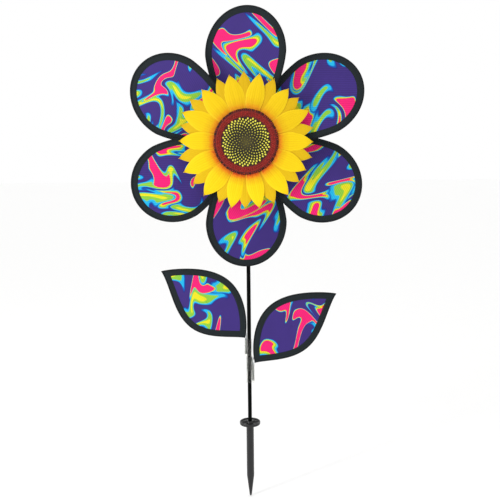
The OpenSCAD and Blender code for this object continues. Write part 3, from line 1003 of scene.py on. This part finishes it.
def dome():
    """A low-poly half dome, one unit across: the one seed or floret that is copied."""
    clear_selection()
    bpy.ops.mesh.primitive_uv_sphere_add(segments=8, ring_count=6, radius=0.5, enter_editmode=True)
    bpy.ops.mesh.select_all(action="SELECT")
    bpy.ops.mesh.bisect(plane_co=(0, 0, -0.05), plane_no=(0, 0, 1), clear_inner=True, use_fill=False)
    bpy.ops.object.mode_set(mode="OBJECT")
    obj = bpy.context.object
    points = np.array([v.co for v in obj.data.vertices])
    faces = [list(p.vertices) for p in obj.data.polygons]
    bpy.data.objects.remove(obj)
    return points, faces


def studs(places):
    """Copies of the dome: places are (radius, angle, width, length, height, tone) on the disc."""
    shape, shape_faces = dome()
    points, faces, crown, tone = [], [], [], []
    for radius, angle, width, length, height, value in places:
        local = shape * np.array([width, length, height * 2])
        turn = angle - math.pi / 2
        c, s = math.cos(turn), math.sin(turn)
        x = local[:, 0]
        y = local[:, 1] + radius
        start = len(points)
        base = disc_height(radius) - 0.05
        points += [(c * a - s * b, s * a + c * b, base + z) for a, b, z in zip(x, y, local[:, 2])]
        faces += [[v + start for v in face] for face in shape_faces]
        # Mask of the painted shade: 0 at a dot's foot, 1 over its crown
        crown += list(np.clip((shape[:, 2] - 0.06) / 0.2, 0, 1))
        tone += [value] * len(shape)
    obj = sheet_object(placed(points, before_face()), faces, crown=crown, tone=tone)
    tidy_mesh(obj)
    return obj


class SunflowerSeeds(bpy.types.Operator):
    """Sets the seeds in their spiral, small at the middle"""
    bl_idname = "spinner.sunflower_seeds"
    bl_label = "Sunflower seeds"

    def execute(self, context):
        looks = context.scene.sunflower_looks
        count = looks.seeds
        rng = random.Random(11)
        places = []
        for k in range(count):
            share = math.sqrt((k + 0.5) / count)
            radius, angle = SEED_RADIUS * share, k * GOLDEN_ANGLE
            size = 1.05 + 1.6 * share ** 1.5
            value = min(1.0, max(0.0, share * 1.3 - 0.15 + rng.uniform(-0.2, 0.2)))
            places.append((radius, angle, size * 0.9, size * 1.12, 0.55 + 0.5 * share, value))
        # The near-black root colour is painted shade at each seed's foot
        look = crown_print("Printed_foam_seeds", "0e0a05", "776d26", looks.seed)
        piece(studs(places), "sunflower_seeds", "wheel", "sunflower_print", look)
        return {"FINISHED"}


class SunflowerFlorets(bpy.types.Operator):
    """Sets the ring of red-brown florets and its dark dotted edge"""
    bl_idname = "spinner.sunflower_florets"
    bl_label = "Sunflower florets"

    def execute(self, context):
        rng = random.Random(5)
        places, edge = [], []
        for row, (radius, count) in enumerate(FLORET_ROWS):
            for k in range(count):
                angle = 2 * math.pi * (k + 0.5 * (row % 2)) / count + rng.uniform(-0.008, 0.008)
                reach = radius + rng.uniform(-0.2, 0.2)
                places.append((reach, angle, 1.6, 1.9, 1.0 + 0.15 * row, rng.random()))
        for k in range(EDGE_DOTS):
            angle = 2 * math.pi * k / EDGE_DOTS
            reach = DOT_RADIUS + 0.6 * (k % 2) + rng.uniform(-0.2, 0.2)
            edge.append((reach, angle, 1.9, 2.3, 1.0, rng.random()))
        # The dark root colours are painted shade at each floret's and dot's foot
        look = crown_print("Printed_foam_florets", "1e0806", "7c1c16", context.scene.sunflower_looks.floret)
        piece(studs(places), "sunflower_florets", "wheel", "sunflower_print", look)
        look = crown_print("Printed_foam_dots", "120604", "2c0e08", "9c2a16")
        piece(studs(edge), "sunflower_dots", "wheel", "sunflower_print", look)
        return {"FINISHED"}


# ---------- pole, hub and stake ----------

# One rib of the flange: a bar, and the place of its middle
RIB = Matrix.Diagonal((7.7 * MM, 0.9 * MM, 1.1 * MM, 1))
RIB_MIDDLE = Matrix.Translation((8.15 * MM, 0, 2.2 * MM))


class GroundStake(bpy.types.Operator):
    """Turns the moulded stake and sets the ribs on its flange"""
    bl_idname = "spinner.ground_stake"
    bl_label = "Ground stake"

    def execute(self, context):
        sizes = context.scene.stake_sizes
        shank, flange, tip = sizes.shank / MM, FLANGE_R / MM, STAKE_TIP / MM
        bore = POLE_R / MM + 0.08
        point = [(0.35, tip), (0.9, tip + 0.25), (1.25, tip + 0.9), (1.5, tip + 2)]
        shaft = [(shank + more, z) for more, z in (
            (-0.12, -70.8), (0, -69.4), (0, -1.6), (0.2, -0.8), (0.8, -0.25), (1.6, 0))]
        plate = [(flange - less, z) for less, z in (
            (0.5, 0), (0.12, 0.15), (0, 0.5), (0, 2.8), (0.12, 3.1), (0.5, 3.2), (1.1, 3.2), (1.4, 3.05),
            (1.5, 2.7), (1.6, 2.15), (2.1, 2.0))]
        collar = [(5.6, 2.0), (5.0, 2.2), (4.65, 2.8), (4.55, 3.9), (4.4, 4.3), (4.1, 4.4)]
        socket = [(bore + 0.35, 4.4), (bore + 0.08, 4.25), (bore, 3.8), (bore, -39.8), (0.4, -39.9)]
        stake = turned(point + shaft + plate + collar + socket, 72)
        ribs = []
        for k in range(sizes.ribs):
            clear_selection()
            bpy.ops.mesh.primitive_cube_add(size=1, location=(0, 0, 0))
            rib = bpy.context.object
            rib.data.transform(RIB_MIDDLE @ RIB)
            apply(rib, "BEVEL", width=0.22 * MM, segments=3, limit_method="NONE")
            rib.data.transform(Matrix.Rotation(math.radians(360 * (k + 0.5) / sizes.ribs), 4, "Z"))
            ribs.append(rib)
        stake = join([stake] + ribs)
        tidy_mesh(stake, smooth=35)
        look = plastic("Moulded_polypropylene", "0f0f11", "19191b", (0.24, 0.32), 0.6 * MM, 0.42)
        piece(stake, "stake_body", "stake", "stake_plastic", look, "ground_stake")
        return {"FINISHED"}


class Hardware(bpy.types.Operator):
    """Gives the pole, ferrule, head, axle, hub, backing and tubes their finishes"""
    bl_idname = "spinner.hardware"
    bl_label = "Pole, hub and fittings"

    def execute(self, context):
        nylon = plastic("Natural_nylon", "d2d2cc", "e6e6e0", (0.35, 0.5), 0.8 * MM)
        moulded = plastic("Moulded_ABS", "0e0f10", "16171a", (0.32, 0.46), level=0.2)
        rod = painted_rod()
        vinyl = clear_vinyl()
        coated = metal("Black_painted_aluminium", "101214", "1d2022", (0.3, 0.45), (1, 1, 0.05), 0.35)
        finishes = {
            "lower_pole": rod,
            "upper_pole": rod,
            "pole_ferrule": coated,
            "stem_head": moulded,
            "wheel_hub": moulded,
            "axle_pin": metal("Zinc_plated_steel", "a9adb0", "c3c7c9", (0.22, 0.38)),
            "rear_washer": nylon,
            "front_washer": nylon,
            "push_cap": metal("Nickel_plated_spring_steel", "a8a69f", "c2c0b8", (0.2, 0.34)),
            "sunflower_backing": card_board(),
            "left_leaf_tube": vinyl,
            "right_leaf_tube": vinyl,
        }
        for name, look in finishes.items():
            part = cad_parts[name]
            part.data.materials.clear()
            part.data.materials.append(look)
            only(part)
            bpy.ops.object.shade_smooth_by_angle(angle=math.radians(35))
        return {"FINISHED"}


# ---------- the studio ----------

CAMERA_PLACE = (0.0426, -0.8065, 0.3281)
PAN, TILT, ROLL = 2.87, 90 - 7.19, -0.58  # degrees
LIT_POINT = Vector((0, 0, 0.3))
# (name, width, height, power's setting, place)
SOFTBOXES = (("Key_softbox", 0.9, 0.9, "key", (-0.75, -0.95, 0.95)),
             ("Strip_softbox", 0.06, 0.6, "strip", (-0.6, -0.5, 0.3)))


class Studio(bpy.types.Operator):
    """Lays the pale floor and sets the soft light and the camera"""
    bl_idname = "spinner.studio"
    bl_label = "Studio"

    def execute(self, context):
        looks, scene = context.scene.studio_looks, context.scene
        scene.view_settings.view_transform = "Standard"
        clear_selection()
        bpy.ops.mesh.primitive_plane_add(size=40, location=(0, 0, STAKE_TIP - 0.5 * MM))
        floor = context.object
        floor.name = floor.data.name = "studio_floor"
        floor.data.materials.append(floor_paper())
        settle(floor)

        world = bpy.data.worlds.new("Soft_white_surround")
        world.use_nodes = True
        background = world.node_tree.nodes["Background"]
        background.inputs["Color"].default_value = (1, 1, 1, 1)
        background.inputs["Strength"].default_value = looks.sky
        scene.world = world

        for name, width, height, power, place in SOFTBOXES:
            lamp = bpy.data.lights.new(name, "AREA")
            lamp.shape, lamp.size, lamp.size_y = "RECTANGLE", width, height
            lamp.energy = getattr(looks, power)
            light = bpy.data.objects.new(name, lamp)
            light.location = place
            light.rotation_euler = (LIT_POINT - light.location).to_track_quat("-Z", "Y").to_euler()
            scene.collection.objects.link(light)

        data = bpy.data.cameras.new("Camera")
        data.lens, data.sensor_width = looks.lens, 36.0
        camera = bpy.data.objects.new("Camera", data)
        camera.matrix_world = (Matrix.Translation(CAMERA_PLACE)
                               @ Matrix.Rotation(math.radians(PAN), 4, "Z")
                               @ Matrix.Rotation(math.radians(TILT), 4, "X")
                               @ Matrix.Rotation(math.radians(ROLL), 4, "Z"))
        scene.collection.objects.link(camera)
        scene.camera = camera
        return {"FINISHED"}


class SpinnerPanel(bpy.types.Panel):
    """Lists the sizes and the steps that build the spinner"""
    bl_idname = "SPINNER_PT_build"
    bl_label = "Wind Spinner"
    bl_space_type = "VIEW_3D"
    bl_region_type = "UI"
    bl_category = "Wind Spinner"

    def draw(self, context):
        for key in GROUPS:
            group = getattr(context.scene, key)
            box = self.layout.box()
            for prop in group.bl_rna.properties:
                if prop.identifier not in ("rna_type", "name"):
                    box.prop(group, prop.identifier)
        for step in STEPS:
            self.layout.operator(step.bl_idname)


GROUPS = {"flower_sizes": FlowerSizes, "print_colours": PrintColours, "sunflower_looks": SunflowerLooks,
          "stake_sizes": StakeSizes, "studio_looks": StudioLooks}
STEPS = (Studio, PetalCloths, PetalBindings, PetalWires, Leaves, SunflowerRays, SunflowerDisc,
         SunflowerSeeds, SunflowerFlorets, GroundStake, Hardware)


def register():
    for cls in (*GROUPS.values(), *STEPS, SpinnerPanel):
        bpy.utils.register_class(cls)
    for key, cls in GROUPS.items():
        setattr(bpy.types.Scene, key, bpy.props.PointerProperty(type=cls))


def unregister():
    for key in GROUPS:
        delattr(bpy.types.Scene, key)
    for cls in reversed((*GROUPS.values(), *STEPS, SpinnerPanel)):
        bpy.utils.unregister_class(cls)


def main():
    register()
    bpy.ops.spinner.studio()
    bpy.ops.spinner.petal_cloths()
    bpy.ops.spinner.petal_bindings()
    bpy.ops.spinner.petal_wires()
    bpy.ops.spinner.leaves()
    bpy.ops.spinner.sunflower_rays()
    bpy.ops.spinner.sunflower_disc()
    bpy.ops.spinner.sunflower_seeds()
    bpy.ops.spinner.sunflower_florets()
    bpy.ops.spinner.ground_stake()
    bpy.ops.spinner.hardware()


if __name__ == "__main__":
    main()
